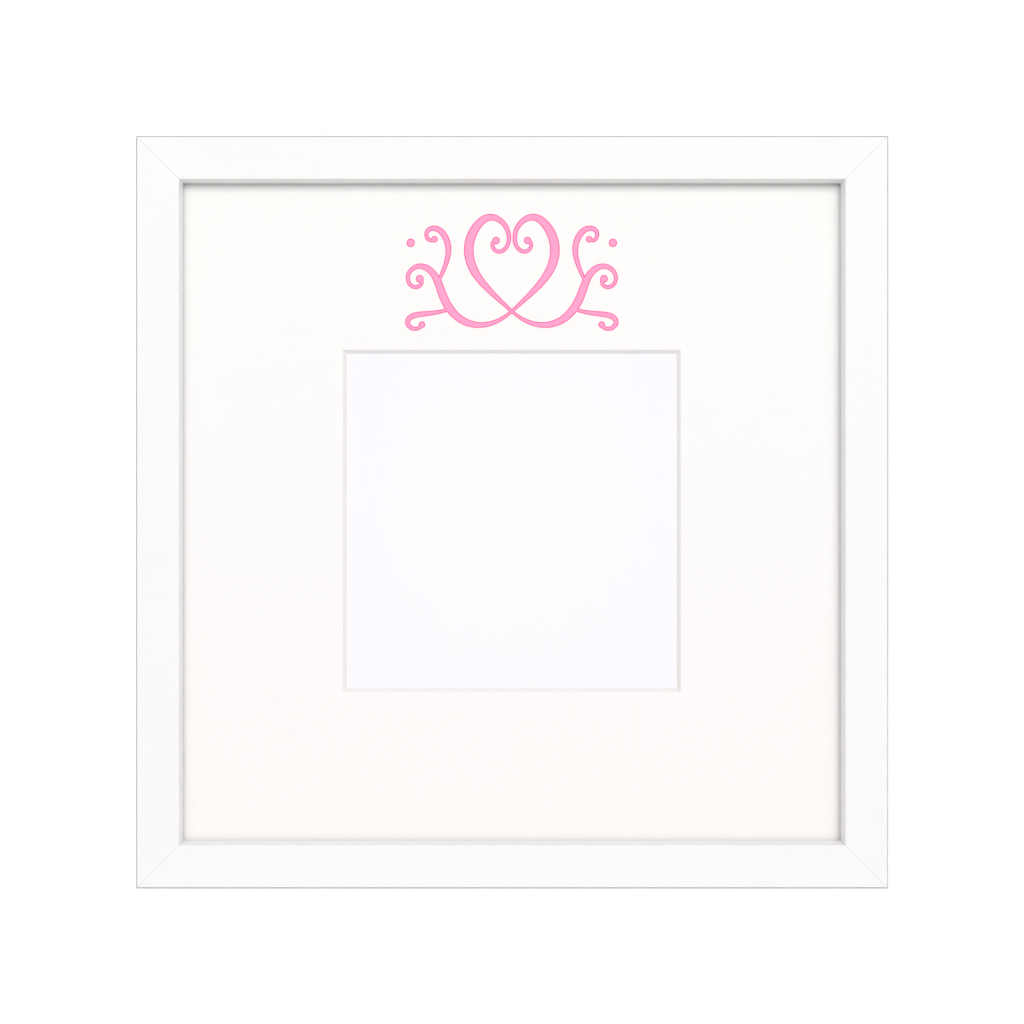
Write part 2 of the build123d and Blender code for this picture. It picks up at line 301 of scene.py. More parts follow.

# %% [markdown]
# Where the edge shade is painted and where the foil ends
#
# How far a point lies from the frame's outside tells what is there: within the first millimetres
# of the rear face the foil is turned over, and past them the board is bare. The grey line of
# painted shade along the outer front edge is placed in the same way. A painted mask could say this
# too, but would need a UV map. The frame is square on to the axes, so a few subtractions do it.

# %% Where the edge shade is painted and where the foil ends
FOIL_TURNED_OVER = 3.2 * MM
REAR_FACE_WITHIN = 0.1 * MM
# Width and depth of the grey line painted as shade along the outer front edge
EDGE_SHADE_WIDTH = 0.3 * MM
EDGE_SHADE_DEPTH = 0.35 * MM
rail_low, rail_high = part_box("rail_bottom")

axes = add(tree, "SeparateXYZ", links={0: place}).outputs
across = add(tree, "Math", {"operation": "ABSOLUTE"}, {0: axes["X"]})
from_side = add(tree, "Math", {"operation": "SUBTRACT", 0: cad_high.x}, {1: across.outputs[0]})
from_top = add(tree, "Math", {"operation": "SUBTRACT", 0: cad_high.z}, {1: axes["Z"]})
from_end = add(tree, "Math", {"operation": "MINIMUM"}, {0: from_top.outputs[0], 1: axes["Z"]})
from_edge = add(tree, "Math", {"operation": "MINIMUM"},
                {0: from_side.outputs[0], 1: from_end.outputs[0]}).outputs[0]
inside = add(tree, "Math", {"operation": "GREATER_THAN", 1: FOIL_TURNED_OVER}, {0: from_edge})
behind = add(tree, "Math", {"operation": "GREATER_THAN", 1: rail_high.y - REAR_FACE_WITHIN},
             {0: axes["Y"]})
bare = add(tree, "Math", {"operation": "MULTIPLY"},
           {0: inside.outputs[0], 1: behind.outputs[0]}).outputs[0]

# A thin strip at the outer front edge, which gets the painted shade
near_edge = add(tree, "Math", {"operation": "LESS_THAN", 1: EDGE_SHADE_WIDTH}, {0: from_edge})
near_front = add(tree, "Math", {"operation": "LESS_THAN", 1: front + EDGE_SHADE_DEPTH}, {0: axes["Y"]})
painted_edge_shade = add(tree, "Math", {"operation": "MULTIPLY"},
           {0: near_edge.outputs[0], 1: near_front.outputs[0]}).outputs[0]
print("rail face in mm:", in_mm([rail_high.z - rail_low.z]))

# %% [markdown]
# The rails' shader
#
# The lacquered foil is satin and the bare board dull. Two shaders could be mixed, but one whose
# colour and roughness change together is simpler. A little relief breaks up reflections: a soft
# skin on the foil, fibres on the board.

# %% The rails' shader
FOIL_ROUGHNESS = 0.42
BOARD_ROUGHNESS = 0.85
FOIL_SKIN = 0.7 * MM
SKIN_DEPTH = 0.02 * MM

# The foil is darkened along the outer front edge: painted shade
foil_with_edge_shade = add(tree, "Mix", {"data_type": "RGBA", MIX_B: linear("#5E5C60")},
             {"Factor": painted_edge_shade, MIX_A: foil.outputs[MIXED]})
colour = add(tree, "Mix", {"data_type": "RGBA"},
             {"Factor": bare, MIX_A: foil_with_edge_shade.outputs[MIXED], MIX_B: board.outputs[MIXED]})
dullness = add(tree, "MapRange", {"To Min": FOIL_ROUGHNESS, "To Max": BOARD_ROUGHNESS},
               {"Value": bare})
skin = add(tree, "TexNoise", {"Scale": 1 / FOIL_SKIN, "Detail": 2}, {"Vector": place})
relief = add(tree, "Mix", {"data_type": "FLOAT"},
             {"Factor": bare, "A": skin.outputs["Fac"], "B": fibres.outputs["Fac"]})
bump = add(tree, "Bump", {"Distance": SKIN_DEPTH, "Strength": 0.25}, {"Height": relief.outputs[0]})
shader = add(tree, "BsdfPrincipled", {"IOR": 1.5},
             {"Base Color": colour.outputs[MIXED], "Roughness": dullness.outputs["Result"],
              "Normal": bump.outputs["Normal"]})
add(tree, "OutputMaterial", links={"Surface": shader.outputs[0]})


def paint(material, *names):
    """Puts a finish on solids of the CAD frame."""
    for name in names:
        nodes[name].material_slots[0].material = material


paint(foil_on_board, "rail_top", "rail_bottom", "rail_left", "rail_right")
print("white rails:", [name for name in nodes if name.startswith("rail")])

# %% [markdown]
# Picture glass
#
# The pane is thin, clear float glass with a coating against reflections. Real refraction would
# cost much time, and a flat pane hardly shows it. So light passes straight through, and each face
# mirrors a small share, more at a low angle. That share rises with the fifth power of the slant,
# the same from both sides.

# %% Picture glass
COATED_MIRROR = 0.01
pane_low, pane_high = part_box("glazing")

picture_glass, tree, _ = new_finish("coated_picture_glass")
slant = add(tree, "LayerWeight", {"Blend": 0.5})
rise = add(tree, "Math", {"operation": "POWER", 1: 5.0}, {0: slant.outputs["Facing"]})
share = add(tree, "MapRange", {"To Min": COATED_MIRROR, "To Max": 1.0}, {"Value": rise.outputs[0]})
clear = add(tree, "BsdfTransparent", {"Color": WHITE})
mirror = add(tree, "BsdfGlossy", {"Roughness": 0.02})
pane = add(tree, "MixShader",
           links={0: share.outputs["Result"], 1: clear.outputs[0], 2: mirror.outputs[0]})
add(tree, "OutputMaterial", links={"Surface": pane.outputs[0]})
paint(picture_glass, "glazing")
print("pane in mm:", in_mm(pane_high - pane_low))

# %% [markdown]
# Where the mount's window is cut
#
# The mount's window is cut at 45 degrees, and the cut shows the board's core. The cut's faces
# could have a material of their own, but the CAD mesh stays as it is. The cut lies inside the
# window's front edge, so a point's distance from the window's middle tells face and core apart.

# %% Where the mount's window is cut
FACE_WITHIN = 0.1 * MM
CUT_STARTS = 0.02 * MM
mount_low, mount_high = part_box("mount_board")
sheet_low, sheet_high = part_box("handprint_sheet")
window_z = (sheet_low.z + sheet_high.z) / 2
mount_corners = [vertex.co for vertex in nodes["mount_board"].data.vertices]
face_corners = [corner for corner in mount_corners if corner.y < mount_low.y + FACE_WITHIN]
window_half = min(abs(corner.x) for corner in face_corners)
window_half_height = min(abs(corner.z - window_z) for corner in face_corners)

white_board, tree, place = new_finish("white_mount_board")
from_middle = add(tree, "VectorMath", {"operation": "SUBTRACT", 1: (0, 0, window_z)}, {0: place})
away = add(tree, "VectorMath", {"operation": "ABSOLUTE"}, {0: from_middle.outputs[0]})
away_axes = add(tree, "SeparateXYZ", links={0: away.outputs[0]}).outputs
in_width = add(tree, "Math", {"operation": "LESS_THAN", 1: window_half - CUT_STARTS},
               {0: away_axes["X"]})
in_height = add(tree, "Math", {"operation": "LESS_THAN", 1: window_half_height - CUT_STARTS},
                {0: away_axes["Z"]})
core = add(tree, "Math", {"operation": "MULTIPLY"},
           {0: in_width.outputs[0], 1: in_height.outputs[0]})
print("window at the mount's face, mm:", in_mm((2 * window_half, 2 * window_half_height)))

# %% [markdown]
# The mount's shader
#
# The mount is faced with white paper that has a fine tooth, and it is a shade warmer towards its
# lower edge. The core is a shade greyer, partly its own off-white and partly painted shade for the
# shaded lines along the cut, and its hollows are not darkened. One flat white would look like
# plastic, so a noise as coarse as the tooth gives the relief and darkens its hollows a little, as
# painted shade.

# %% The mount's shader
# Coarser than the real tooth, which is too fine to show
MOUNT_TOOTH = 0.35 * MM
TOOTH_DEPTH = 0.03 * MM

tooth = add(tree, "TexNoise", {"Scale": 1 / MOUNT_TOOTH, "Detail": 4}, {"Vector": place})
axes = add(tree, "SeparateXYZ", links={0: place}).outputs
height = add(tree, "MapRange", {"From Min": mount_low.z, "From Max": mount_high.z},
             {"Value": axes["Z"]})
face = add(tree, "Mix", {"data_type": "RGBA", MIX_A: linear("#FBF8F7"), MIX_B: linear("#FAF9F7")},
           {"Factor": height.outputs["Result"]})
# The tooth's hollows are darkened a little: painted shade
painted_pore_shade = add(tree, "MapRange", {"From Min": 0.35, "From Max": 0.5, "To Min": 0.98, "To Max": 1.0},
            {"Value": tooth.outputs["Fac"]})
face_with_pore_shade = add(tree, "VectorMath", {"operation": "SCALE"},
              {0: face.outputs[MIXED], "Scale": painted_pore_shade.outputs["Result"]})
# The cut's colour is a shade greyer: partly the core's own off-white, partly painted shade on the
# cut
colour = add(tree, "Mix", {"data_type": "RGBA", MIX_B: linear("#EEEBEA")},
             {"Factor": core.outputs[0], MIX_A: face_with_pore_shade.outputs[0]})
bump = add(tree, "Bump", {"Distance": TOOTH_DEPTH, "Strength": 0.3},
           {"Height": tooth.outputs["Fac"]})
shader = add(tree, "BsdfPrincipled", {"Roughness": 0.8, "IOR": 1.45},
             {"Base Color": colour.outputs[MIXED], "Normal": bump.outputs["Normal"]})
add(tree, "OutputMaterial", links={"Surface": shader.outputs[0]})
paint(white_board, "mount_board")
print("mount in mm:", in_mm(mount_high - mount_low))

# %% [markdown]
# Sheet for the handprint
#
# The sheet behind the window is smooth, heavy paper, ready for the print. It is a slightly bluish
# white, which paper makers get with brighteners. Towards its corners it is a little darker: painted
# shade. A painted picture could hold that shade, but the distance from the sheet's middle gives it
# without one.

# %% Sheet for the handprint
# Coarser than the real tooth, which is too fine to show
PAPER_TOOTH = 0.5 * MM
PAPER_DEPTH = 0.02 * MM
# The window's corners are about this many half widths from its middle
TO_CORNERS = 1.4

print_paper, tree, place = new_finish("bright_print_paper")
from_middle = add(tree, "VectorMath", {"operation": "SUBTRACT", 1: (0, 0, window_z)}, {0: place})
reach = add(tree, "VectorMath", {"operation": "LENGTH"}, {0: from_middle.outputs[0]})
# Darker towards the corners: painted shade
painted_corner_shade = add(tree, "MapRange", {"From Max": TO_CORNERS * window_half},
           {"Value": reach.outputs["Value"]})
paper = add(tree, "Mix", {"data_type": "RGBA", MIX_A: linear("#FCFBFD"), MIX_B: linear("#F8F6FA")},
            {"Factor": painted_corner_shade.outputs["Result"]})
tooth = add(tree, "TexNoise", {"Scale": 1 / PAPER_TOOTH, "Detail": 3}, {"Vector": place})
bump = add(tree, "Bump", {"Distance": PAPER_DEPTH, "Strength": 0.2},
           {"Height": tooth.outputs["Fac"]})
shader = add(tree, "BsdfPrincipled", {"Roughness": 0.7, "IOR": 1.45},
             {"Base Color": paper.outputs[MIXED], "Normal": bump.outputs["Normal"]})
add(tree, "OutputMaterial", links={"Surface": shader.outputs[0]})
paint(print_paper, "handprint_sheet")
print("sheet in mm:", in_mm(sheet_high - sheet_low))

# %% [markdown]
# Adding a piece
#
# A new piece starts as a bmesh. This function makes it an object with its finish, smooth where
# its faces nearly line up, and ties it to the CAD body that it moves with. Where it stands for
# solids of the CAD frame, those are hidden. The steps could be repeated for each piece, but one
# would soon be forgotten.

# %% Adding a piece
SMOOTH_BELOW = radians(35)


def add_piece(name, bm, material, body, *replaced):
    """An object from a bmesh, riding on a body, in place of the CAD solids that are named."""
    mesh = bpy.data.meshes.new(name)
    bm.to_mesh(mesh)
    bm.free()
    mesh.materials.append(material)
    mesh.shade_smooth()
    mesh.set_sharp_from_angle(angle=SMOOTH_BELOW)
    piece = bpy.data.objects.new(name, mesh)
    scene.collection.objects.link(piece)
    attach(piece, body)
    if replaced:
        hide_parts(*replaced)
    print(name, "faces:", len(mesh.polygons), "mm:", in_mm(piece.dimensions))
    return piece


# %% [markdown]
# Scroll ornament on the mount
#
# Above the window the mount carries a pink foil print: a heart and scrolls, drawn as with a
# broad pen. Flat outlines would need two lines for each stroke. Here a stroke is a row of points
# with the pen's width at each. Only the right half is written down, and a mirror gives the left.

# %% Strokes of the ornament
# Each point of a stroke: right of the middle, above the ornament's middle, half the pen's width,
# in mm
STROKES = (
    ((0, -13.5, 0.25), (5, -9, 0.5), (14, -1, 1.3), (15.5, 11, 1.5), (8, 20.5, 0.9),
     (0.6, 15, 0.5), (0.8, 7.5, 0.4), (5.8, 5.4, 0.4), (7.4, 9.8, 0.35), (4.9, 10.6, 0.3)),
    ((0, -13.5, 0.25), (5, -18, 0.4), (15, -19.5, 0.9), (23, -11, 1.3), (25, -1, 1.0),
     (31, 3, 0.6), (36, -1, 0.4), (34, -6.5, 0.4), (29.5, -5, 0.35), (30.5, -1.8, 0.3)),
    ((21.5, -13, 0.3), (27, -14.5, 0.5), (33.5, -14, 0.8), (36.5, -18, 0.5), (32, -20.5, 0.4),
     (29.5, -17.8, 0.3)),
    ((24.5, -3, 0.3), (21.5, 3, 0.5), (20.5, 9.5, 0.9), (25, 15.5, 0.7), (30, 13.5, 0.4),
     (28, 9.3, 0.35), (25.3, 10.8, 0.3)),
)
# Each dot's place in the same way, and its radius
DOTS = ((5.3, 10.3, 0.95), (31, -2.6, 1.0), (30.2, -18, 0.8), (26, 10.7, 0.8), (34, 9.5, 1.1))
print("strokes and dots in each half:", len(STROKES), len(DOTS))

# %% [markdown]
# The pen
#
# A pen stroke is smooth, and swells and thins. It could be a strip of faces, but that would have to
# be smoothed and widened point by point. Each point of a curve has a radius, so one curve with a
# bevel gives a round stroke of changing width.


# %% The pen
def pull_pen(stroke, grow):
    """The mesh of one stroke, drawn with a pen that is wider by grow on each side."""
    line = bpy.data.curves.new("stroke", "CURVE")
    line.dimensions = "3D"
    line.bevel_depth = MM
    line.bevel_resolution = 3
    line.resolution_u = 14
    line.use_fill_caps = True
    spline = line.splines.new("NURBS")
    spline.points.add(len(stroke) - 1)
    for point, (x, z, pen) in zip(spline.points, stroke):
        point.co = (x * MM, 0, z * MM, 1)
        point.radius = pen + grow
    spline.order_u = 4
    spline.use_endpoint_u = True
    drawn = bpy.data.objects.new("stroke", line)
    mesh = bpy.data.meshes.new_from_object(drawn)
    bpy.data.objects.remove(drawn)
    return mesh


print("widest stroke in mm:", 2 * max(pen for stroke in STROKES for x, z, pen in stroke))

# %% [markdown]
# Print film
#
# The print is a satin film that a hot press leaves on the board. One flat pink would look like a
# sticker. So the colour is slightly uneven, and the board's tooth shows through as relief. Both
# pinks need the same nodes, so one function makes them.

# %% Print film
FILM_UNEVEN = 3 * MM


def pressed_foil(name, light, dark):
    """A satin print film, a little uneven where it took on the board's tooth."""
    material, tree, place = new_finish(name)
    uneven = add(tree, "TexNoise", {"Scale": 1 / FILM_UNEVEN, "Detail": 3}, {"Vector": place})
    colour = add(tree, "Mix", {"data_type": "RGBA", MIX_A: linear(light), MIX_B: linear(dark)},
                 {"Factor": uneven.outputs["Fac"]})
    tooth = add(tree, "TexNoise", {"Scale": 1 / MOUNT_TOOTH, "Detail": 4}, {"Vector": place})
    bump = add(tree, "Bump", {"Distance": TOOTH_DEPTH, "Strength": 0.2},
               {"Height": tooth.outputs["Fac"]})
    shader = add(tree, "BsdfPrincipled", {"Roughness": 0.45, "IOR": 1.5},
                 {"Base Color": colour.outputs[MIXED], "Normal": bump.outputs["Normal"]})
    add(tree, "OutputMaterial", links={"Surface": shader.outputs[0]})
    return material


deep_pink = pressed_foil("deep_pink_foil", "#FF4E9C", "#FA4896")
light_pink = pressed_foil("light_pink_foil", "#FFA6D0", "#FD9DCA")
print("films:", deep_pink.name, light_pink.name)

# %% [markdown]
# Two layers of print
#
# Squeezed flat, the round strokes become a film. Its darker outline could be part of the material,
# but a slightly wider, darker set of the same strokes, laid under the first, gives an even outline,
# as two passes of a foil press do.

# %% Two layers of print
ORNAMENT_Z = 206 * MM
# In mm, like the strokes
OUTLINE = 0.32
FILM_SQUEEZE = 0.008
OUTLINE_LIFT = 0.025 * MM
FILL_LIFT = 0.055 * MM


def print_layer(name, grow, lift, material):
    """One colour of the print: all strokes and dots, as a film this far off the mount."""
    bm = bmesh.new()
    for stroke in STROKES:
        bm.from_mesh(pull_pen(stroke, grow))
    for x, z, radius in DOTS:
        bmesh.ops.create_uvsphere(bm, u_segments=24, v_segments=8, radius=(radius + grow) * MM,
                                  matrix=Matrix.Translation((x * MM, 0, z * MM)))
    half = bm.verts[:] + bm.edges[:] + bm.faces[:]
    bmesh.ops.mirror(bm, geom=half, axis="X", merge_dist=0.0)
    bmesh.ops.recalc_face_normals(bm, faces=bm.faces)
    bmesh.ops.scale(bm, vec=(1, FILM_SQUEEZE, 1), verts=bm.verts)
    bmesh.ops.translate(bm, vec=(0, mount_low.y - lift, ORNAMENT_Z), verts=bm.verts)
    film = add_piece(name, bm, material, "frame")


print_layer("scroll_outline", OUTLINE, OUTLINE_LIFT, deep_pink)
print_layer("scroll_fill", 0.0, FILL_LIFT, light_pink)

# %% [markdown]
# Plated steel
#
# The turn buttons and their screws are zinc-plated, which is a cool, slightly cloudy grey. The
# hanger is nickel-plated, warmer and brighter. The nails in the mitres are plain, darker steel.
# Each could have nodes of its own, but all three are rolled metal, so one recipe serves them: a
# cloudy colour, rolling lines in the roughness and a trace of relief.

# %% Plated steel
PLATING_CLOUD = 4 * MM
# Real rolling lines are a tenth as wide, too fine to show
ROLLING_LINE = 0.25 * MM
ROLLING_STRETCH = 0.08
ROLLING_DEPTH = 0.01 * MM
# How far the lines make the steel smoother and duller than its own roughness
SMOOTHER = 0.08
DULLER = 0.12


def plated_steel(name, light, dark, roughness):
    """Steel under a plating, with cloudy colour and fine rolling lines."""
    material, tree, place = new_finish(name)
    clouds = add(tree, "TexNoise", {"Scale": 1 / PLATING_CLOUD, "Detail": 3}, {"Vector": place})
    colour = add(tree, "Mix", {"data_type": "RGBA", MIX_A: linear(light), MIX_B: linear(dark)},
                 {"Factor": clouds.outputs["Fac"]})
    drawn_out = add(tree, "Mapping", {"Scale": (1, 1, ROLLING_STRETCH)}, {"Vector": place})
    lines = add(tree, "TexNoise", {"Scale": 1 / ROLLING_LINE, "Detail": 2},
                {"Vector": drawn_out.outputs[0]})
    dullness = add(tree, "MapRange", {"To Min": roughness - SMOOTHER, "To Max": roughness + DULLER},
                   {"Value": lines.outputs["Fac"]})
    bump = add(tree, "Bump", {"Distance": ROLLING_DEPTH, "Strength": 0.3},
               {"Height": lines.outputs["Fac"]})
    shader = add(tree, "BsdfPrincipled", {"Metallic": 1.0},
                 {"Base Color": colour.outputs[MIXED], "Roughness": dullness.outputs["Result"],
                  "Normal": bump.outputs["Normal"]})
    add(tree, "OutputMaterial", links={"Surface": shader.outputs[0]})
    return material


zinc = plated_steel("zinc_plated_steel", "#B4B8BD", "#8F959B", roughness=0.36)
nickel = plated_steel("nickel_plated_steel", "#C6BFB2", "#A9A193", roughness=0.24)
nail_steel = plated_steel("plain_nail_steel", "#77777A", "#5A5A5E", roughness=0.42)
paint(nail_steel, "corner_v_nails")
print("steels:", zinc.name, nickel.name, nail_steel.name)

# %% [markdown]
# Turn buttons and strap
#
# A press cuts the turn buttons out of sheet steel and bends their tips up, and rolls the hanger's
# strap round its ring. Their CAD solids have the right shape but knife-sharp edges. They could be
# modelled again, but a copy is sure to fit. It gets merged corners, one face for each flat, and a
# narrow bevel along every sharp edge, as tumbling gives the real pieces. Weighted normals keep the
# shading of the flats flat up to the bevels.

# %% Turn buttons and strap
TUMBLED_EDGE = 0.12 * MM
SHARP_ABOVE = radians(40)
FLAT_BELOW = radians(1)
WELD = 0.002 * MM


def tumbled_copy(node):
    """A copy of a CAD solid as one closed mesh, with its sharp edges rounded."""
    bm = bmesh.new()
    bm.from_mesh(nodes[node].data)
    bmesh.ops.remove_doubles(bm, verts=bm.verts, dist=WELD)
    bmesh.ops.dissolve_limit(bm, angle_limit=FLAT_BELOW, verts=bm.verts, edges=bm.edges)
    sharp = [edge for edge in bm.edges if edge.calc_face_angle(0) > SHARP_ABOVE]
    bmesh.ops.bevel(bm, geom=sharp, offset=TUMBLED_EDGE, offset_type="OFFSET", affect="EDGES",
                    segments=2, profile=0.5, clamp_overlap=True, material=-1)
    return bm


hardware = [name for name in nodes if name.startswith("turn_button")]
buttons = [name for name in hardware if name != "turn_button_screws"]
pressed = [add_piece("pressed_" + name, tumbled_copy(name), zinc, name, name) for name in buttons]
strap = tumbled_copy("hanger_strap")
pressed.append(add_piece("rolled_hanger_strap", strap, nickel, "frame", "hanger_strap"))
for piece in pressed:
    piece.modifiers.new("flats_stay_flat", "WEIGHTED_NORMAL").keep_sharp = True

# %% [markdown]
# A lathe for screws and rivets
#
# Screws and rivets are round pieces that a factory heads in a die. Cylinders and spheres put
# together would leave seams. A mesh gets the whole shape from half an outline, spun once round as
# on a lathe. The heads are shallow domes, so one function gives the outline of a dome and another
# does the turning.

# %% A lathe for screws and rivets
ROUND_STEPS = 40
DOME_STEPS = 6


def crown(radius, low, high, steps=DOME_STEPS):
    """Points of a shallow dome from its rim to its top, as radius and height in mm."""
    rise = high - low
    sphere = (radius**2 + rise**2) / (2 * rise)
    widest = asin(radius / sphere)
    turns = [widest * (1 - step / steps) for step in range(steps + 1)]
    return [(sphere * sin(turn), high - sphere + sphere * cos(turn)) for turn in turns]


def lathe(outline):
    """Turns an outline of radius and height in mm once round the Y axis."""
    bm = bmesh.new()
    points = [bm.verts.new((radius * MM, height * MM, 0)) for radius, height in outline]
    lines = [bm.edges.new(pair) for pair in zip(points, points[1:])]
    bmesh.ops.spin(bm, geom=points + lines, cent=(0, 0, 0), axis=(0, 1, 0), dvec=(0, 0, 0),
                   angle=2 * pi, steps=ROUND_STEPS, use_merge=True)
    bmesh.ops.remove_doubles(bm, verts=bm.verts, dist=WELD)
    bmesh.ops.recalc_face_normals(bm, faces=bm.faces)
    return bm


dome = [(round(radius, 2), round(height, 2)) for radius, height in crown(1, 0, 0.5, steps=3)]
print("a dome 1 mm in radius and 0.5 mm high:", dome)

# %% [markdown]
# One screw
#
# Each turn button turns on a pan-head screw. Its outline, in mm from the head's seat, runs from the
# point up the shank, out under the head and over the crown. Planes then divide the crown along the
# sides of a cross, where the recess for the driver will be.

# %% One screw
# Lengths of a screw in mm
HEAD_RADIUS = 2.9
HEAD_RIM = 0.5
HEAD_HEIGHT = 1.8
SHANK_RADIUS = 1.5
POINT = 2.5
CROSS_REACH = 1.6
CROSS_HALF = 0.4
# A face whose normal points up by more than this belongs to the crown
UPWARDS = 0.5
SNAP = 0.001 * MM
screws_low, screws_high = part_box("turn_button_screws")
seat_y = screws_high.y - HEAD_HEIGHT * MM
shank_end = (screws_low.y - seat_y) / MM

shank = [(0, shank_end), (SHANK_RADIUS, shank_end + POINT), (SHANK_RADIUS, 0), (HEAD_RADIUS, 0)]
screw = lathe(shank + crown(HEAD_RADIUS, HEAD_RIM, HEAD_HEIGHT))
for level in (-CROSS_REACH, -CROSS_HALF, CROSS_HALF, CROSS_REACH):
    for normal in (Vector((1, 0, 0)), Vector((0, 0, 1))):
        top = [face for face in screw.faces if face.normal.y > UPWARDS]
        edges = {edge for face in top for edge in face.edges}
        verts = {vert for face in top for vert in face.verts}
        bmesh.ops.bisect_plane(screw, geom=top + list(edges) + list(verts), dist=SNAP,
                               plane_co=normal * level * MM, plane_no=normal)
print("faces of one screw before its recess:", len(screw.faces))

# %% [markdown]
# The cross recess
#
# A punch drives the cross into the screw's head. A boolean cut would leave thin, ragged faces on
# the dome. So the faces inside the cross are pushed down instead. They draw in a little, and go
# deepest in the middle, because the driver's tip is pointed.

# %% The cross recess
# In mm at the middle, and what the floor of the recess rises in each mm from there
CROSS_DEPTH = 1.3
CROSS_SLOPE = 0.5
CROSS_TAPER = 0.75


def in_cross(face):
    """Whether a face of the crown lies inside the cross recess."""
    centre = face.calc_center_median() / MM
    near, far = sorted((abs(centre.x), abs(centre.z)))
    on_crown = face.normal.y > UPWARDS and centre.y > HEAD_RIM
    return on_crown and near < CROSS_HALF and far < CROSS_REACH


cross = [face for face in screw.faces if in_cross(face)]
sunk = bmesh.ops.extrude_face_region(screw, geom=cross)["geom"]
recess = [item for item in sunk if isinstance(item, bmesh.types.BMVert)]
bmesh.ops.scale(screw, vec=(CROSS_TAPER, 1, CROSS_TAPER), verts=recess)
deepest = (HEAD_HEIGHT - CROSS_DEPTH) * MM
for vert in recess:
    vert.co.y = deepest + CROSS_SLOPE * Vector((vert.co.x, vert.co.z)).length
bmesh.ops.delete(screw, geom=[face for face in cross if face.is_valid], context="FACES")
screw_mesh = bpy.data.meshes.new("screw")
screw.to_mesh(screw_mesh)
screw.free()
print("faces of one screw:", len(screw_mesh.polygons))

# %% [markdown]
# Eight screws
#
# One screw stands on the axis of each turn button, and the record's joints say where that is. Hands
# drive every screw to another angle, so each copy is turned further than the last. Eight objects
# would do too, but all eight stay one piece, as in CAD.

# %% Eight screws
SCREW_TURN = radians(37)
pivots = {joint["child"]: joint["pos_m"] for joint in frame["record"]["behaviour"]["joints"]}

all_screws = bmesh.new()
for number, child in enumerate(name for name in pivots if name in buttons):
    x, _, z = pivots[child]
    driven = screw_mesh.copy()
    turned = Matrix.Rotation(SCREW_TURN * number, 4, "Y")
    driven.transform(Matrix.Translation((x, seat_y, z)) @ turned)
    all_screws.from_mesh(driven)
add_piece("cross_head_screws", all_screws, zinc, "frame", "turn_button_screws")

# %% [markdown]
# Rivets
#
# Two rivets hold the strap on the backboard. Each has a round head on the strap, and its end is
# clinched flat inside the frame. A ball on a rod could stand for it, but one more outline for the
# lathe gives both ends their true shape.

# %% Rivets
# Lengths of a rivet in mm
RIVET_HEAD = 2.0
RIVET_RIM = 0.15
RIVET_CROWN = 0.9
RIVET_SHANK = 1.2
CLINCH = 0.5
rivets_low, rivets_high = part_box("hanger_rivets")
strap_face = rivets_high.y - RIVET_CROWN * MM
inner_end = (rivets_low.y - strap_face) / MM

rivet_outline = [(0, inner_end), (RIVET_HEAD, inner_end), (RIVET_HEAD, inner_end + CLINCH),
                 (RIVET_SHANK, inner_end + CLINCH), (RIVET_SHANK, 0), (RIVET_HEAD, 0)]
rivet = lathe(rivet_outline + crown(RIVET_HEAD, RIVET_RIM, RIVET_CROWN))
rivet_mesh = bpy.data.meshes.new("rivet")
rivet.to_mesh(rivet_mesh)
rivet.free()
both_rivets = bmesh.new()
for z in (rivets_high.z - RIVET_HEAD * MM, rivets_low.z + RIVET_HEAD * MM):
    driven = rivet_mesh.copy()
    driven.transform(Matrix.Translation((0, strap_face, z)))
    both_rivets.from_mesh(driven)
add_piece("round_head_rivets", both_rivets, nickel, "frame", "hanger_rivets")

# %% [markdown]
# Bending a wire
#
# The hanger's ring is one bent wire. A curve with a round bevel could give it, but its bends would
# only come near true arcs. Two functions work as a bender does instead: one draws the wire's open
# end straight out, and the other bends it round a post.

# %% Bending a wire
WIRE = 1.0 * MM
WIRE_SIDES = 20

ring = bmesh.new()
facing_along_x = Matrix.Rotation(pi / 2, 4, "Y")
bmesh.ops.create_circle(ring, segments=WIRE_SIDES, radius=WIRE, matrix=facing_along_x)
end = ring.edges[:]


def draw(edges, way):
    """Draws the wire's open end out along a way, and gives the new end."""
    made = bmesh.ops.extrude_edge_only(ring, edges=edges)["geom"]
    verts = [item for item in made if isinstance(item, bmesh.types.BMVert)]
    bmesh.ops.translate(ring, vec=way, verts=verts)
    return [item for item in made if isinstance(item, bmesh.types.BMEdge) and item.is_boundary]


def bend(edges, centre, steps):
    """Bends the wire's open end a quarter turn round a post, and gives the new end."""
    made = bmesh.ops.spin(ring, geom=edges, cent=centre, axis=(0, 1, 0), dvec=(0, 0, 0),
                          angle=pi / 2, steps=steps)["geom_last"]
    return [item for item in made if isinstance(item, bmesh.types.BMEdge)]


print("edges of the wire's end:", len(end))

# %% [markdown]
# Hanger ring
#
# Bent in order, the ring is a straight run along the bar, a quarter turn, a run down the side and
# a turn round the bow. Half the ring is enough, and its mirror image closes it. It is made round
# the middle of its bar and then put on its hinge.

# %% Hanger ring
RING_CORNER = 3.0 * MM
ring_low, ring_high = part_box("hanger_ring")
pivot = Vector(pivots["hanger_ring"])
half_width = ring_high.x - WIRE
bar_end = half_width - RING_CORNER
bow_centre = ring_low.z + WIRE + half_width - pivot.z

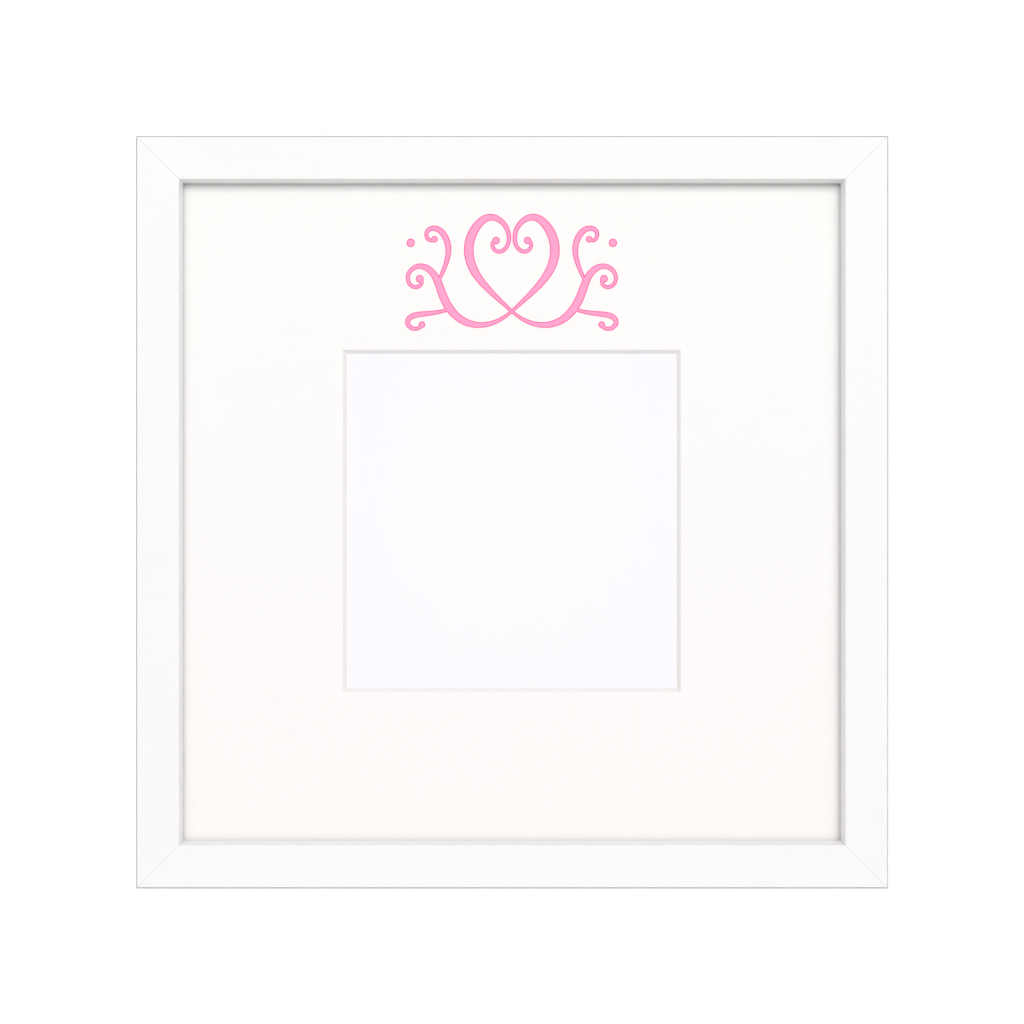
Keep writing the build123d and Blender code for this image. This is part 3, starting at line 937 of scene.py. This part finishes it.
end = draw(end, (bar_end, 0, 0))
end = bend(end, (bar_end, 0, -RING_CORNER), steps=8)
end = draw(end, (0, 0, bow_centre + RING_CORNER))
bend(end, (0, 0, bow_centre), steps=20)
half = ring.verts[:] + ring.edges[:] + ring.faces[:]
bmesh.ops.mirror(ring, geom=half, axis="X", merge_dist=SNAP)
bmesh.ops.remove_doubles(ring, verts=ring.verts, dist=WELD)
bmesh.ops.recalc_face_normals(ring, faces=ring.faces)
bmesh.ops.translate(ring, vec=pivot, verts=ring.verts)
add_piece("bent_hanger_ring", ring, nickel, "hanger_ring", "hanger_ring")

# %% [markdown]
# Hardboard back
#
# The back is brown hardboard: wood fibres pressed to a dense, slightly shiny sheet. Close up it
# is a felt of short fibres in many browns, with darker flecks of bark. A picture of a board would
# repeat, and noise doesn't. One noise drawn out a little gives the felt, and a coarser one the
# flecks, where its highest values are.

# %% Hardboard back
# Real fibres are about half as wide, too fine to show here
FELT = 0.8 * MM
FELT_STRETCH = 0.35
FELT_DEPTH = 0.05 * MM
FLECK = 5 * MM
back_low, back_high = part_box("backboard")

hardboard, tree, place = new_finish("pressed_hardboard")
drawn_out = add(tree, "Mapping", {"Scale": (1, 1, FELT_STRETCH)}, {"Vector": place})
felt = add(tree, "TexNoise", {"Scale": 1 / FELT, "Detail": 8, "Roughness": 0.7, "Distortion": 0.6},
           {"Vector": drawn_out.outputs[0]})
depth = add(tree, "MapRange", {"From Min": 0.22, "From Max": 0.78}, {"Value": felt.outputs["Fac"]})
browns = add(tree, "Mix", {"data_type": "RGBA", MIX_A: linear("#94693D"), MIX_B: linear("#54361B")},
             {"Factor": depth.outputs["Result"]})
flecks = add(tree, "TexNoise", {"Scale": 1 / FLECK, "Detail": 4, "Roughness": 0.75},
             {"Vector": place})
dark = add(tree, "MapRange", {"From Min": 0.6, "From Max": 0.75, "To Max": 0.6},
           {"Value": flecks.outputs["Fac"]})
colour = add(tree, "Mix", {"data_type": "RGBA", MIX_B: linear("#3F2814")},
             {"Factor": dark.outputs["Result"], MIX_A: browns.outputs[MIXED]})
dullness = add(tree, "MapRange", {"To Min": 0.42, "To Max": 0.62}, {"Value": felt.outputs["Fac"]})
bump = add(tree, "Bump", {"Distance": FELT_DEPTH, "Strength": 0.3}, {"Height": felt.outputs["Fac"]})
shader = add(tree, "BsdfPrincipled", {"IOR": 1.5},
             {"Base Color": colour.outputs[MIXED], "Roughness": dullness.outputs["Result"],
              "Normal": bump.outputs["Normal"]})
add(tree, "OutputMaterial", links={"Surface": shader.outputs[0]})
paint(hardboard, "backboard")
print("backboard in mm:", in_mm(back_high - back_low))

# %% [markdown]
# Card, spacers and tapes
#
# These lie inside and only show when the back is taken off. The card is grey board made of waste
# paper, with light and dark specks. The spacers are strips of pale fibreboard, and the tapes are
# gummed brown paper. All are felts of fibre that differ in colour, grain and shine, so one function
# makes the three.

# %% Card, spacers and tapes
GRAIN_DEPTH = 0.04 * MM


def fibre_felt(name, light, dark, grain, roughness):
    """Pressed or felted fibre, mottled at its grain size in metres."""
    material, tree, place = new_finish(name)
    grains = add(tree, "TexNoise", {"Scale": 1 / grain, "Detail": 5, "Roughness": 0.7},
                 {"Vector": place})
    colour = add(tree, "Mix", {"data_type": "RGBA", MIX_A: linear(light), MIX_B: linear(dark)},
                 {"Factor": grains.outputs["Fac"]})
    bump = add(tree, "Bump", {"Distance": GRAIN_DEPTH, "Strength": 0.3},
               {"Height": grains.outputs["Fac"]})
    shader = add(tree, "BsdfPrincipled", {"Roughness": roughness, "IOR": 1.45},
                 {"Base Color": colour.outputs[MIXED], "Normal": bump.outputs["Normal"]})
    add(tree, "OutputMaterial", links={"Surface": shader.outputs[0]})
    return material


card = fibre_felt("grey_card", "#B5B1A9", "#8B877F", grain=0.8 * MM, roughness=0.9)
strip = fibre_felt("pale_fibreboard", "#E4E0D8", "#C6BFB2", grain=0.5 * MM, roughness=0.8)
tape = fibre_felt("gummed_brown_paper", "#D8C3A0", "#BFA57C", grain=0.6 * MM, roughness=0.5)
paint(card, "backing_card")
paint(strip, "spacer_top", "spacer_bottom", "spacer_left", "spacer_right")
paint(tape, "sheet_tapes")
print("CAD nodes that still show:", sum(not node.hide_render for node in nodes.values()))
